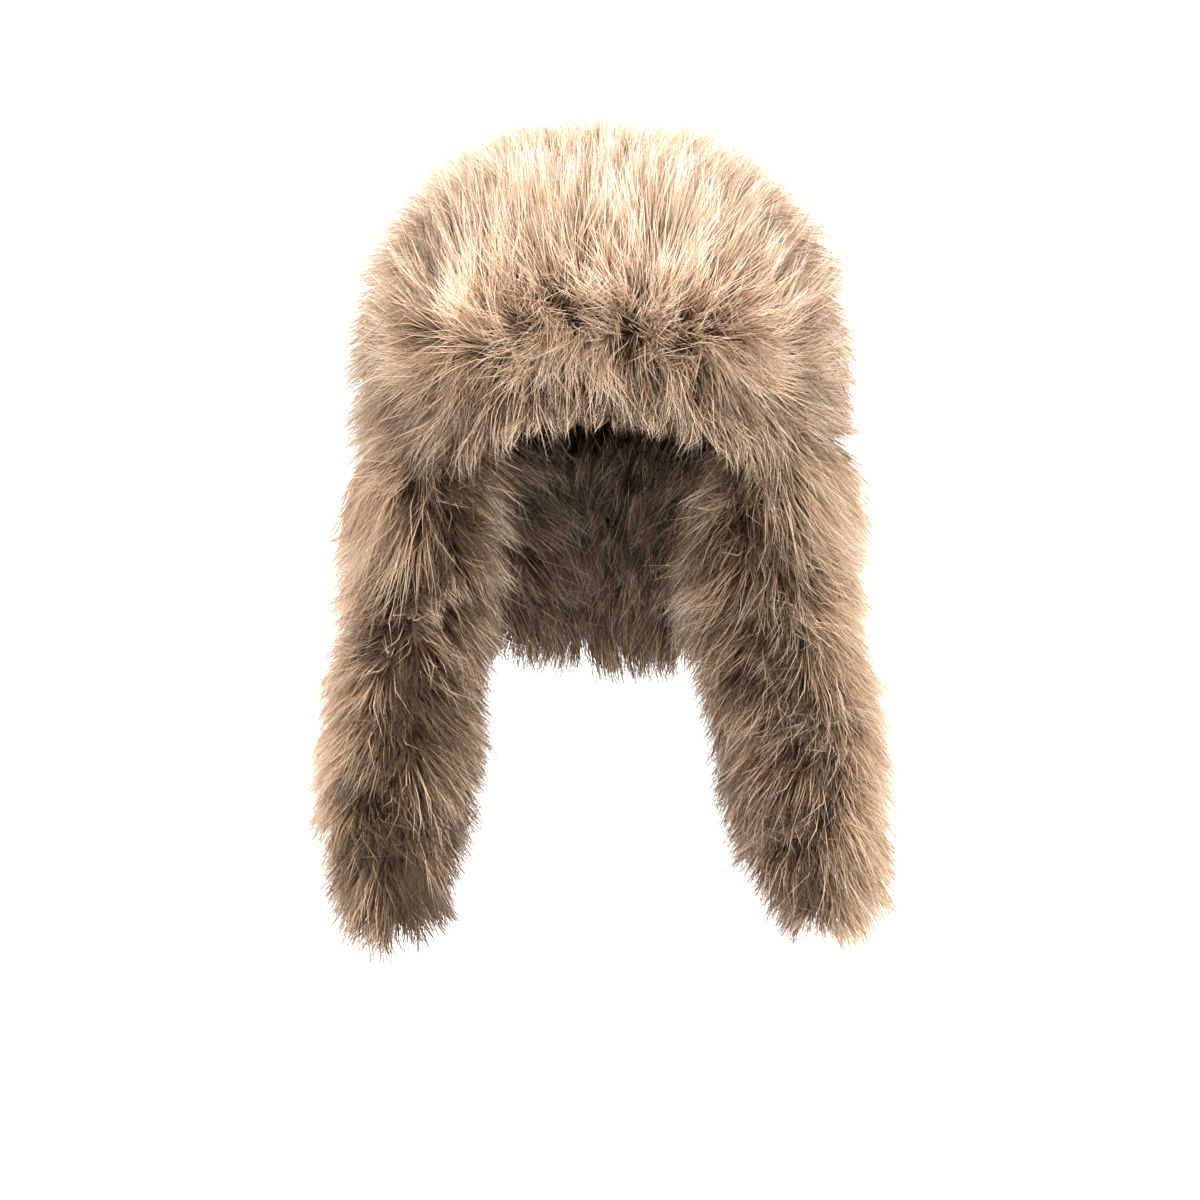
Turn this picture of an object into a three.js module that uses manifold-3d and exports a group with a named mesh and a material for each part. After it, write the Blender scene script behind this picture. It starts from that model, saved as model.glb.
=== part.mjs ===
// A fur trapper hat: a padded crown, a front flap turned up against it, two hanging ear flaps and
// a neck flap, each in deep fur. Millimetres, +Z up, the face side towards -Y. The origin is the
// inside of the crown's top, where the hat sits on a head.
import * as THREE from "three";
import { mergeVertices } from "three/addons/utils/BufferGeometryUtils.js";
import Module from "manifold-3d";

const wasm = await Module();
wasm.setup();

// The crown: a dome on a short straight band
const HEAD_HALF_WIDTH = 82;
const HEAD_HALF_DEPTH = 102;
const DOME_HEIGHT = 78;
const RIM_DEPTH = 118; // from the inside of the top to the rim, at the sides and back
const FRONT_RISE = 14; // how much higher the rim is over the forehead
const FRONT_RISE_ENDS = 0.5; // cosine of the angle where the rim is level again
const DOME_SHARE = 0.77; // the dome's part of the way from the top to the rim
const WALL = 4; // lining, padding and fur backing together
const GAP = 0.3; // between pieces that touch
const CROWN_LOCK_ROWS = 6;
const CROWN_FIRST_LOCKS = 0.063; // on the way from the top to the rim
const CROWN_LAST_LOCKS = 0.964;
const NEAR_RIM = 0.85; // from here on down the locks stand straighter

// The fur, measured off the wall that carries it
const UNDERFUR = 27; // the dense part of the pile
const INNER_UNDERFUR = 25; // the same on the faces that turn to the head
const EDGE_FUR = 16; // past the edges of a flap
const EDGE_ROOM = 4; // for locks past that
const PILE = 38; // to the tips of the standing locks
const LOCK_ROOT = 12; // how deep a lock starts in the underfur
const LOCK_LENGTH = 26;
const LOCK_VARIES = 3; // longer and shorter than that
const LOCK_WIDTH = 15;
const LOCK_THICKNESS = 10;
const LOCK_WAIST = 0.7; // a lock is narrower at its root than a plain cone
const LOCK_FULLNESS = 1.5; // and fatter half way
const LOCK_SPACING = 34;
const LOCK_STRAY = 0.2; // how far a lock stands from its even place, in parts of the spacing
const LOCK_DROOP = 0.6; // how far the tip of a hanging lock sweeps down, in parts of its length

// The front flap
const FRONT_HALF_ANGLE = THREE.MathUtils.degToRad(60);
const FRONT_TOP = 0.36; // its upper edge, on the way from the top of the crown to the rim
const FRONT_CORNER = 0.12; // how much lower the upper edge is at the corners
const FRONT_BULGE = 4; // the underfur is thicker along the ridge
const RIDGE = 0.66; // the ridge that the front fur spreads from
const RIDGE_HALF_ANGLE = THREE.MathUtils.degToRad(20);
const FRINGE_ROOM = 20; // how far the fringe may hang below the rim
const FRONT_LOCK_ROWS = 4;
const FRONT_LOCKS = 9; // in each row

// The ear flaps, and how far each hangs from the middle plane at a few depths below the rim
const EAR_LENGTH = 227;
const EAR_HALF_BREADTH = 51;
const EAR_SETTLES = 110; // where the flap no longer follows the curve of the head
const EAR_ROUNDING = 6; // a higher power gives a squarer end
const EAR_TIP_REACH = 10;
const EAR_LOCK_ROWS = 8;
const EAR_LOCKS = 9; // round each row
const EAR_TIP_LOCKS = 5; // in one more row round the tip
const EAR_FIRST_LOCKS = 8; // below the rim
const EAR_LAST_LOCKS = 209;
const EAR_HANG = [
  { fall: 0, left: 84, right: 84 },
  { fall: 37, left: 87, right: 85 },
  { fall: 76, left: 92, right: 88 },
  { fall: 114, left: 98, right: 96 },
  { fall: 152, left: 100, right: 103 },
  { fall: 260, left: 99, right: 107 },
];

// The neck flap
const NECK_LENGTH = 100;
const NECK_HALF_ANGLE = THREE.MathUtils.degToRad(51);
const NECK_CORNER = 0.3; // how much shorter the flap is at its lower corners
const PARTING = THREE.MathUtils.degToRad(126); // from the front to where ear and neck fur meet
const NECK_LOCK_ROWS = 4;
const NECK_LOCKS = 7; // in each row
const NECK_LOCK_EDGE = 6; // from the rim to the first row, and from the last row to the edge

// Steps of the faceted surfaces
const CROWN_SIDES = 24;
const CROWN_ROWS = 6;
const MM_PER_DOWN = 165; // the way from the top of the crown to the rim, near enough
const OVERRUN = 3; // a form that is cut off at the rim starts this far above it
const FAR = 400;
const STRAIGHT = 0.02; // a smaller cross product counts as one direction

const FUR = new THREE.MeshStandardMaterial({ color: 0xb08f72, roughness: 0.9, metalness: 0 });
const BACKING = new THREE.MeshStandardMaterial({ color: 0x6a5443, roughness: 0.95, metalness: 0 });

const { clamp, lerp, smoothstep } = THREE.MathUtils;

// A number from -1 to 1 that looks random and is the same each time
function scatter(seed) {
  const wave = Math.sin(seed * 12.9898 + 4.1) * 43758.5453;
  return 2 * (wave - Math.floor(wave)) - 1;
}

// Values from one to another in even steps
function steps(from, to, count) {
  return Array.from({ length: count + 1 }, (_, i) => lerp(from, to, i / count));
}

// Moves every corner of a geometry to where a function puts it.
function shaped(geometry, place) {
  const position = geometry.attributes.position;
  const corner = new THREE.Vector3();
  for (let i = 0; i < position.count; i++) {
    corner.fromBufferAttribute(position, i);
    const moved = place(corner, i);
    position.setXYZ(i, moved.x, moved.y, moved.z);
  }
  return geometry;
}

// A closed three.js geometry as a solid with its faces out
function solid(geometry) {
  const bare = geometry.clone();
  bare.deleteAttribute("normal");
  bare.deleteAttribute("uv");
  const merged = mergeVertices(bare, 1e-3);
  const corners = merged.index.array;
  const triangles = [];
  for (let i = 0; i < corners.length; i += 3) {
    const [a, b, c] = corners.slice(i, i + 3);
    if (a !== b && b !== c && c !== a) triangles.push(a, b, c);
  }
  const build = (order) =>
    new wasm.Manifold(
      new wasm.Mesh({
        numProp: 3,
        vertProperties: merged.attributes.position.array,
        triVerts: new Uint32Array(order),
      }),
    );
  const made = build(triangles);
  return made.volume() > 0 ? made : build(triangles.reverse());
}

function mesh(name, body, material) {
  const { vertProperties, triVerts } = body.getMesh();
  const geometry = new THREE.BufferGeometry();
  geometry.setAttribute("position", new THREE.BufferAttribute(vertProperties, 3));
  geometry.setIndex(new THREE.BufferAttribute(triVerts, 1));
  geometry.computeVertexNormals();
  const made = new THREE.Mesh(geometry, material);
  made.name = name;
  return made;
}

// How deep the rim lies below the inside of the top, at an angle from the front
function rimDepth(around) {
  const rise = clamp((Math.cos(around) - FRONT_RISE_ENDS) / (1 - FRONT_RISE_ENDS), 0, 1);
  return RIM_DEPTH - FRONT_RISE * rise * rise;
}

// The angle from the top of the dome to where it meets its band, which is a right angle
function domeTurn(down) {
  return (Math.min(down / DOME_SHARE, 1) * Math.PI) / 2;
}

// A point on or off the crown: around in radians from the front, down from 0 at the top to 1 at
// the rim and on below it, and out in mm from the inner face.
function crownPoint(around, down, out) {
  const turn = domeTurn(down);
  const band = Math.max(down - DOME_SHARE, 0) / (1 - DOME_SHARE);
  const reach = Math.sin(turn);
  return new THREE.Vector3(
    (HEAD_HALF_WIDTH + out) * reach * Math.sin(around),
    -(HEAD_HALF_DEPTH + out) * reach * Math.cos(around),
    (DOME_HEIGHT + out) * Math.cos(turn) - DOME_HEIGHT - band * (rimDepth(around) - DOME_HEIGHT),
  );
}

// A form turned round the head from rows of { down, out }, the first of them at the top
function turnedForm(rows) {
  const outline = rows.map(({ down, out, onAxis }) => {
    const at = crownPoint(0, down, out);
    return new THREE.Vector2(onAxis ? 0 : -at.y, at.z);
  });
  const turned = new THREE.LatheGeometry(outline, CROWN_SIDES);
  return solid(
    shaped(turned, (corner, i) => {
      const { down, out, onAxis } = rows[i % rows.length];
      const around = (Math.floor(i / rows.length) / CROWN_SIDES) * 2 * Math.PI;
      const at = crownPoint(around, down, out);
      return onAxis ? at.setX(0).setY(0) : at;
    }),
  );
}

// The shell between two distances off the crown's inner face, open at the rim
function crownShell(inner, outer) {
  const way = steps(0, 1, CROWN_ROWS);
  const inside = way.map((down) => ({ down, out: inner }));
  const outside = way.map((down) => ({ down, out: outer }));
  return turnedForm([...inside, ...outside.reverse()]);
}

// Everything within a distance of the crown's inner face, and on down past the rim
function headForm(out) {
  const way = steps(0, 1, CROWN_ROWS).map((down) => ({ down, out }));
  return turnedForm([...way, { down: 1.5, out }, { down: 1.5, out, onAxis: true }]);
}

// A slab whose three box coordinates, each from 0 to 1, a function turns into a point
function slab(alongSteps, fallSteps, bend) {
  const box = new THREE.BoxGeometry(1, 1, 1, alongSteps, fallSteps, 1);
  return solid(shaped(box, (p) => bend(p.x + 0.5, 0.5 - p.y, p.z + 0.5)));
}

// A block between two heights over a flat outline of [x, y] corners
function block(outline, low, high) {
  const flat = new THREE.Shape(outline.map(([x, y]) => new THREE.Vector2(x, y)));
  const raised = new THREE.ExtrudeGeometry(flat, { depth: high - low, bevelEnabled: false });
  return solid(raised.translate(0, 0, low));
}

// One lock of fur: a three-sided cone from its root, which starts one way and sweeps another.
function lock(root, towards, sweep, length) {
  const start = towards.clone().sub(root).normalize();
  const across = new THREE.Vector3().crossVectors(start, sweep);
  if (across.length() < STRAIGHT) {
    across.crossVectors(start, new THREE.Vector3(start.y, start.z, start.x));
  }
  across.normalize();
  const through = new THREE.Vector3().crossVectors(start, across);
  const cone = new THREE.ConeGeometry(1, 1, 3, 2);
  return solid(
    shaped(cone, (p) => {
      const way = p.y + 0.5;
      const fullness = way === 0 ? LOCK_WAIST : LOCK_FULLNESS;
      return root
        .clone()
        .addScaledVector(start, way * length)
        .addScaledVector(sweep, way * way * length)
        .addScaledVector(across, p.x * LOCK_WIDTH * fullness)
        .addScaledVector(through, p.z * LOCK_THICKNESS * fullness);
    }),
  );
}

// Underfur and locks as one body, kept in its own room and clear of what carries it
function furred(core, locks, room, cuts) {
  const whole = wasm.Manifold.union([core, ...locks]);
  const kept = cuts.reduce((body, cut) => body.subtract(cut), room ? whole.intersect(room) : whole);
  return kept.decompose().sort((a, b) => b.volume() - a.volume())[0];
}

// Rooms that keep the fur of neighbouring pieces apart
function overRim(level) {
  return block([[-FAR, -FAR], [FAR, -FAR], [FAR, FAR], [-FAR, FAR]], level, FAR);
}

function underRim(level) {
  return block([[-FAR, -FAR], [FAR, -FAR], [FAR, FAR], [-FAR, FAR]], -FAR, level);
}

function behindParting(back) {
  const end = back - FAR / Math.tan(PARTING);
  const outline = [[0, back], [FAR, end], [FAR, FAR], [-FAR, FAR], [-FAR, end]];
  return block(outline, -FAR, FAR);
}

function besideHead(side) {
  const near = 8;
  const corners = [[near, -FAR], [FAR, -FAR], [FAR, FAR], [near, FAR]].map(([x, y]) => [side * x, y]);
  return block(side > 0 ? corners : corners.reverse(), -FAR, -RIM_DEPTH - GAP);
}

function frontRoom(extra) {
  const spare = EDGE_FUR + EDGE_ROOM + extra;
  const angle = FRONT_HALF_ANGLE + spare / HEAD_HALF_DEPTH;
  const top = (across) => FRONT_TOP + FRONT_CORNER * across ** 4 - spare / MM_PER_DOWN;
  return slab(10, 3, (along, fall, out) => {
    const across = 2 * along - 1;
    const at = crownPoint(across * angle, lerp(top(across), 1, fall), 2 * PILE * out);
    if (fall === 1) at.z -= (FRINGE_ROOM + extra) * (0.6 + out);
    return at;
  });
}

// The crown's fur: tips stand out all round, lower on the top, and lean down the sides.
function crownFur() {
  const locks = [];
  for (let row = 0; row < CROWN_LOCK_ROWS; row++) {
    const down = lerp(CROWN_FIRST_LOCKS, CROWN_LAST_LOCKS, row / (CROWN_LOCK_ROWS - 1));
    const girth = 2 * Math.PI * (HEAD_HALF_DEPTH + UNDERFUR) * Math.sin(domeTurn(down));
    const count = Math.max(Math.round(girth / LOCK_SPACING), 5);
    const lean = down < NEAR_RIM ? 0.09 : 0.02;
    const droop = down < NEAR_RIM ? 0.5 : 0.1;
    for (let i = 0; i < count; i++) {
      const seed = row * 97 + i;
      const around = ((i + 0.5 * (row % 2) + LOCK_STRAY * scatter(seed)) / count) * 2 * Math.PI;
      const root = crownPoint(around, down, WALL + UNDERFUR - LOCK_ROOT);
      const towards = crownPoint(around + 0.08 * scatter(seed + 3), down + lean, WALL + PILE);
      const sweep = crownPoint(around, down + lean, WALL).sub(crownPoint(around, down, WALL));
      sweep.normalize().multiplyScalar(droop);
      const stand = lerp(0.8, 1, smoothstep(down, 0, 0.45)) + 0.1 * scatter(seed + 7);
      locks.push(lock(root, towards, sweep, LOCK_LENGTH * stand));
    }
  }
  const core = crownShell(WALL + GAP, WALL + UNDERFUR);
  return furred(core, locks, overRim(-RIM_DEPTH), [frontRoom(GAP), headForm(WALL + GAP)]);
}

// A point of the front flap: across from -1 to 1, fall from 0 at its upper edge to 1 at the fold,
// out in mm off the crown's outer face, and grow in mm past its outline.
function frontPoint(across, fall, out, grow) {
  const around = across * (FRONT_HALF_ANGLE + grow / HEAD_HALF_DEPTH);
  const top = FRONT_TOP + FRONT_CORNER * across ** 4 - grow / MM_PER_DOWN;
  const fold = 1 + (grow * (0.35 + 0.6 * across ** 2)) / MM_PER_DOWN;
  return crownPoint(around, lerp(top, fold, fall), WALL + out);
}

function frontSlab(grow) {
  return slab(10, 4, (along, fall, out) =>
    frontPoint(2 * along - 1, fall, out ? GAP + WALL + grow : -WALL, grow),
  );
}

function frontFur() {
  const core = slab(10, 6, (along, fall, out) => {
    const across = 2 * along - 1;
    const plump = Math.sqrt(1 - 0.8 * across ** 4) * (1 - 0.6 * Math.abs(2 * fall - 1) ** 3);
    const thick = WALL + GAP + (UNDERFUR + FRONT_BULGE) * plump;
    return frontPoint(across, fall, out ? thick : GAP, EDGE_FUR);
  });
  const locks = [];
  for (let row = 0; row < FRONT_LOCK_ROWS; row++) {
    for (let i = 0; i < FRONT_LOCKS; i++) {
      const seed = 500 + row * 31 + i;
      const place = i + 0.25 + 0.5 * (row % 2) + LOCK_STRAY * scatter(seed);
      const across = (2 * place) / FRONT_LOCKS - 1;
      const fall = (row + 0.5 + 0.1 * scatter(seed + 2)) / FRONT_LOCK_ROWS;
      const around = across * (FRONT_HALF_ANGLE + 0.1);
      const down = lerp(FRONT_TOP - 0.04, 1.02, fall);
      const aside = around - clamp(around, -RIDGE_HALF_ANGLE, RIDGE_HALF_ANGLE);
      const below = down - RIDGE;
      const root = crownPoint(around, down, 2 * WALL + UNDERFUR - LOCK_ROOT);
      const towards = crownPoint(around + 0.25 * aside, down + 0.35 * below, 2 * WALL + PILE);
      const sweep = crownPoint(around + 0.1 * aside, down + 0.2 * below, WALL);
      sweep.sub(crownPoint(around, down, WALL)).normalize().multiplyScalar(below > 0.2 ? 0.8 : 0.5);
      locks.push(lock(root, towards, sweep, LOCK_LENGTH + LOCK_VARIES * scatter(seed + 5)));
    }
  }
  const cuts = [frontSlab(GAP), headForm(WALL + GAP), earPanel(-1, GAP), earPanel(1, GAP)];
  return furred(core, locks, frontRoom(0), cuts);
}

// How far an ear flap hangs from the middle plane, from the table
function earHang(side, fall) {
  const key = side < 0 ? "left" : "right";
  const next = Math.max(EAR_HANG.findIndex((row) => row.fall > fall), 1);
  const [above, below] = [EAR_HANG[next - 1], EAR_HANG[next]];
  return lerp(above[key], below[key], (fall - above.fall) / (below.fall - above.fall));
}

// The middle surface of an ear flap: it leaves the rim on the head's curve and then hangs flat.
function earMiddle(side, y, fall) {
  const halfWidth = HEAD_HALF_WIDTH + WALL / 2;
  const curve = halfWidth * (1 - Math.sqrt(1 - (y / (HEAD_HALF_DEPTH + WALL / 2)) ** 2));
  return earHang(side, fall) - curve * (1 - smoothstep(fall, 0, EAR_SETTLES));
}

// A point of an ear flap: across from -1 at the front edge to 1 at the rear one, fall in mm below
// the rim, out in mm off the middle surface, and grow in mm past the outline.
function earPoint(side, across, fall, out, grow) {
  const share = clamp(fall / (EAR_LENGTH + grow + EAR_TIP_REACH), 0, 1);
  const y = across * (EAR_HALF_BREADTH + grow) * Math.sqrt(1 - share ** EAR_ROUNDING);
  const slope = (earMiddle(side, y + 1, fall) - earMiddle(side, y - 1, fall)) / 2;
  const normal = new THREE.Vector2(1, -slope).normalize();
  return new THREE.Vector3(
    side * (earMiddle(side, y, fall) + out * normal.x),
    y + out * normal.y,
    -RIM_DEPTH - GAP - fall,
  );
}

// How far a row of a hanging panel lies below the rim; a grown panel, a cutter, runs past the rim.
function panelFall(fall, length, grow) {
  return fall === 0 && grow ? -2 * OVERRUN : fall * (length + grow);
}

function earPanel(side, grow) {
  return slab(5, 8, (along, fall, out) =>
    earPoint(
      side,
      2 * along - 1,
      panelFall(fall, EAR_LENGTH, grow),
      (2 * out - 1) * (WALL / 2 + grow),
      grow,
    ),
  );
}

function earFur(side) {
  const outer = WALL / 2 + UNDERFUR;
  const inner = WALL / 2 + INNER_UNDERFUR;
  const core = slab(6, 8, (along, fall, out) => {
    const across = 2 * along - 1;
    const plump = Math.sqrt(1 - 0.75 * across ** 4) * (1 - 0.55 * fall ** 6);
    const drop = lerp(-OVERRUN, EAR_LENGTH + EDGE_FUR, fall);
    return earPoint(side, across, drop, plump * (out ? outer : -inner), EDGE_FUR);
  });
  const locks = [];
  for (let row = 0; row <= EAR_LOCK_ROWS; row++) {
    const atTip = row === EAR_LOCK_ROWS;
    const count = atTip ? EAR_TIP_LOCKS : EAR_LOCKS;
    const spread = atTip ? 0.5 : 1;
    const flare = atTip ? 40 : 16;
    const fall = lerp(EAR_FIRST_LOCKS, EAR_LAST_LOCKS, Math.min(row / (EAR_LOCK_ROWS - 1), 1.04));
    const reach = lerp(PILE, LOCK_ROOT, smoothstep(fall, 0.7 * EAR_LENGTH, EAR_LENGTH));
    for (let i = 0; i < count; i++) {
      const seed = 900 + 300 * side + row * 23 + i;
      const turn = ((i + 0.5 * (row % 2) + LOCK_STRAY * scatter(seed)) / count) * 2 * Math.PI;
      const [edge, face] = [spread * Math.cos(turn), spread * Math.sin(turn)];
      const past = 12 * Math.abs(edge);
      const root = earPoint(side, 0.9 * edge, fall, face * (reach / 2), past);
      const towards = earPoint(side, edge, fall + flare, face * reach, 3 * past);
      const sweep = new THREE.Vector3(0, 0, -LOCK_DROOP - 0.15 * scatter(seed + 4));
      locks.push(lock(root, towards, sweep, LOCK_LENGTH + LOCK_VARIES * scatter(seed + 8)));
    }
  }
  const cuts = [earPanel(side, GAP), frontRoom(GAP), behindParting(0)];
  return furred(core, locks, besideHead(side), cuts);
}

// A point of the neck flap: across from -1 to 1, fall in mm below the rim, out in mm off the inner
// face, and grow in mm past the outline.
function neckPoint(across, fall, out, grow) {
  const around = Math.PI + across * (NECK_HALF_ANGLE + grow / HEAD_HALF_DEPTH);
  const at = crownPoint(around, 1, out);
  at.z = -RIM_DEPTH - GAP - fall * (1 - NECK_CORNER * across ** 4);
  return at;
}

function neckPanel(grow) {
  return slab(8, 4, (along, fall, out) =>
    neckPoint(2 * along - 1, panelFall(fall, NECK_LENGTH, grow), out ? WALL + grow : -grow, grow),
  );
}

function neckFur() {
  const core = slab(8, 4, (along, fall, out) => {
    const plump = 1 - 0.4 * fall ** 6;
    const off = out ? WALL + UNDERFUR * plump : -INNER_UNDERFUR * plump;
    return neckPoint(2 * along - 1, lerp(-OVERRUN, NECK_LENGTH + EDGE_FUR, fall), off, EDGE_FUR);
  });
  const middle = WALL / 2;
  const locks = [];
  for (const face of [1, -1]) {
    const length = face > 0 ? LOCK_LENGTH : LOCK_LENGTH - 2 * LOCK_VARIES;
    for (let row = 0; row < NECK_LOCK_ROWS; row++) {
      const atEdge = row === NECK_LOCK_ROWS - 1;
      const flare = atEdge ? 24 : 14;
      const fall = lerp(NECK_LOCK_EDGE, NECK_LENGTH - NECK_LOCK_EDGE, row / (NECK_LOCK_ROWS - 1));
      for (let i = 0; i < NECK_LOCKS; i++) {
        if (face < 0 && !atEdge && i % 2) continue; // fewer locks turn to the neck
        const seed = 2000 + 400 * face + row * 17 + i;
        const place = i + 0.25 + 0.5 * (row % 2) + LOCK_STRAY * scatter(seed);
        const across = (2 * place) / NECK_LOCKS - 1;
        const root = neckPoint(across, fall, middle + face * (UNDERFUR - LOCK_ROOT), NECK_LOCK_EDGE);
        const towards = neckPoint(across, fall + flare, middle + face * PILE, NECK_LOCK_EDGE);
        const sweep = new THREE.Vector3(0, 0, -LOCK_DROOP - 0.15 * scatter(seed + 4));
        locks.push(lock(root, towards, sweep, length + LOCK_VARIES * scatter(seed + 8)));
      }
    }
  }
  const room = behindParting(GAP).intersect(underRim(-RIM_DEPTH - GAP));
  return furred(core, locks, room, [neckPanel(GAP)]);
}

const hat = new THREE.Group();
hat.add(
  mesh("crown", crownShell(0, WALL), BACKING),
  mesh("crown_fur", crownFur(), FUR),
  mesh("front_flap", frontSlab(0).subtract(headForm(WALL + GAP)), BACKING),
  mesh("front_flap_fur", frontFur(), FUR),
  mesh("neck_flap", neckPanel(0), BACKING),
  mesh("neck_flap_fur", neckFur(), FUR),
);
for (const [name, side] of [["left", -1], ["right", 1]]) {
  hat.add(
    mesh(`ear_flap_${name}`, earPanel(side, 0), BACKING),
    mesh(`ear_flap_${name}_fur`, earFur(side), FUR),
  );
}

export default hat;
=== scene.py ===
# A fur trapper hat in deep beige fur: a crown, a turned-up front flap, two hanging ear flaps and a
# neck flap. Metres, +Z up, the face side towards -Y, the origin at the inside of the crown's top.
import math

import bpy
import numpy as np
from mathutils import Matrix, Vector


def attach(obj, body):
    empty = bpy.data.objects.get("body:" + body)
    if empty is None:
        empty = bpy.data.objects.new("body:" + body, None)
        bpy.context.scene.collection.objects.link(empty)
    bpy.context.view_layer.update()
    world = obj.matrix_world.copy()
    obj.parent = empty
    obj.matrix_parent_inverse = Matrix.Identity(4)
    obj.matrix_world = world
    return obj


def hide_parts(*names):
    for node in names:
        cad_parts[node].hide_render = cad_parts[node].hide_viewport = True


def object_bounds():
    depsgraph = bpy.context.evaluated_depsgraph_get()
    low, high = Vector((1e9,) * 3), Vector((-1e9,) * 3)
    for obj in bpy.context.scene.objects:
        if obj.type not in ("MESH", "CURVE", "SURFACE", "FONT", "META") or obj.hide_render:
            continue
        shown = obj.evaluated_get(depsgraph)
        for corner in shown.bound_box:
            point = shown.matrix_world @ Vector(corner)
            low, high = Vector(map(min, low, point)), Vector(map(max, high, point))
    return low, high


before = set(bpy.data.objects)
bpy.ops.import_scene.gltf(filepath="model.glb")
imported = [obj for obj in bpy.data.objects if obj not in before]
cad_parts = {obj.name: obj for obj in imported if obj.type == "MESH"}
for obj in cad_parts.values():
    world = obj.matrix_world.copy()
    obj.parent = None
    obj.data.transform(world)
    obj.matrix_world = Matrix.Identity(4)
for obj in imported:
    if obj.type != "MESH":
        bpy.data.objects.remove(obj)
frame_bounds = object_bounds()

# Sizes of the walls that carry the fur, as the solids have them
HEAD_HALF_WIDTH = 0.082
HEAD_HALF_DEPTH = 0.102
DOME_HEIGHT = 0.078
DOME_SHARE = 0.77
RIM_DEPTH = 0.118
FRONT_RISE = 0.014
FRONT_RISE_ENDS = 0.5
WALL = 0.004
GAP = 0.0003
WAY_DOWN = 0.165  # from the top of the crown to the rim
FRONT_HALF_ANGLE = math.radians(60)
FRONT_TOP = 0.36
FRONT_CORNER = 0.12
RIDGE = 0.705
RIDGE_DROP = 0.01  # how much lower its ridge lies at the sides
RIDGE_SIDE = 0.075
RIDGE_STRAIGHT = 0.025
FRINGE_SIDES = (0.0, 0.03, 0.06, 0.075, 0.108, 0.14)  # from the middle, and how low the fringe hangs there
FRINGE_ENDS = (-0.099, -0.106, -0.124, -0.135, -0.139, -0.14)
EAR_LENGTH = 0.227
EAR_HALF_BREADTH = 0.051
EAR_SETTLES = 0.11
EAR_ROUNDING = 6
EAR_TIP_REACH = 0.01
EAR_FALLS = (0, 0.037, 0.076, 0.114, 0.152, 0.26)
EAR_HANGS = {
    -1: (0.084, 0.087, 0.092, 0.098, 0.1, 0.099),
    1: (0.084, 0.085, 0.088, 0.096, 0.103, 0.107),
}
NECK_LENGTH = 0.1
NECK_HALF_ANGLE = math.radians(51)
NECK_CORNER = 0.3

# The pile
CROWN_SKIN = 0.011  # how far the woolly skin that the strands grow from stands off a wall
THIN_SKIN = 0.002  # the same where the front flap covers it
CROWN_ROWS = 30
PAST_EDGE = 0.004  # how far the skin of a hanging flap goes past the flap's edges
FRONT_PAST_EDGE = 0.006
BELOW_RIM = 0.0005  # how far under the rim the skin of a hanging flap begins
FRONT_SKIN = 0.013
NECK_SKIN = 0.01
EAR_OUTER_FALLS = (0.03, 0.09, 0.13, 0.17, 0.2)
EAR_OUTER_SKINS = {-1: (0.021, 0.014, 0.02, 0.024, 0.023), 1: (0.018, 0.017, 0.018, 0.015, 0.021)}
EAR_INNER_SKIN = {-1: 0.018, 1: 0.029}
EAR_ROUNDED_OFF = {-1: 0.4, 1: 0.65}  # how much of it goes towards the tip
EAR_PALER = {-1: 0.1, 1: 0.06}  # by how much each ear flap is paler than the usual tone
# How much darker the fur is made down the matted parting: partly its own darker matted fur, partly painted
# shade in that crease
EAR_PARTING_DARKER = {-1: 1.15, 1: 0.5}
# Painted shade at the flap's lower end, darker towards its tip
EAR_END_PAINTED_SHADE = {-1: 0.6, 1: 0.04}
GUARD_HAIRS = 11500  # on each piece
FINE_HAIRS = 18500
GUARD_RADIUS = 0.00027
FINE_RADIUS = 0.00022
LOCK_SIZE = 0.017
TUFT_SIZE = 0.0045
LOCK_LEAN = 0.35  # how far a lock or tuft leans its own way, in parts of its strands' length
OWN_LEAN = 0.13
STRAY_FROM = 0.85  # above this draw from 0 to 1 a strand strays more, up to so many times
STRAY_MOST = 2.4
GATHERED = 0.45  # how far a tip goes towards the middle of its lock or tuft, and the strand low down
GATHERED_LOW = 0.3
SHORTEST = 0.79  # the length of a strand in parts of its reach, and what its lock and its tuft add at most
LOCK_LONGER = 0.08
TUFT_LONGER = 0.16
LONGEST = 1.08
SPREAD = 1.3  # how much wider a strand's cone is drawn towards its tip, so that it tapers late
LOCK_TINT = 0.2  # how far the shade of a lock and of a tuft goes its own way, from 0 dark to 1 light
TUFT_TINT = 0.4
PALE_ARE_FEW = 2.5  # the power that makes most strands dark and a few pale
MEAN_SHADE = 0.3
SKIN_PART = 0.1  # the share of the fur's map that the skin takes
SKIN_SHADE = 0.1  # where the skin lies on the map's way from dark to light, and how wide it is there
SKIN_SHADE_WIDTH = 0.2
MAP_MARGIN = 0.01
SHADE_MARGIN = 0.03
STRAND_ON_MAP = 0.002

DOWN = np.array((0.0, 0.0, -1.0))
USUAL_LAY = {"growth": 1.0, "tangle": 1.0, "gather": 1.0, "contrast": 1.0, "ragged": 0.3}
WORKING_NAMES = {"root", "start", "bend", "shade", "root_aim", "tip_aim", "reach", "tone", *USUAL_LAY}
PROUD_SHARE = 0.03  # how far past the solids' box the fur may stand
PROUD = 0.008

# Colours as a screen shows them, from 0 to 255: of the darkest and of the palest strands, and of the cloth
ROOT_COLOURS = (25, 15, 8), (136, 102, 72)
BODY_COLOURS = (76, 53, 35), (212, 177, 145)
TIP_COLOURS = (110, 85, 64), (254, 239, 219)
LINING_COLOURS = (58, 44, 34), (96, 76, 60)
LINING_CLOUDS = 38.0  # slow changes of tone to the metre, and grains of the cloth
LINING_GRAIN = 900.0
LINING_WEAVE = 4200.0  # radians to the metre

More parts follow.
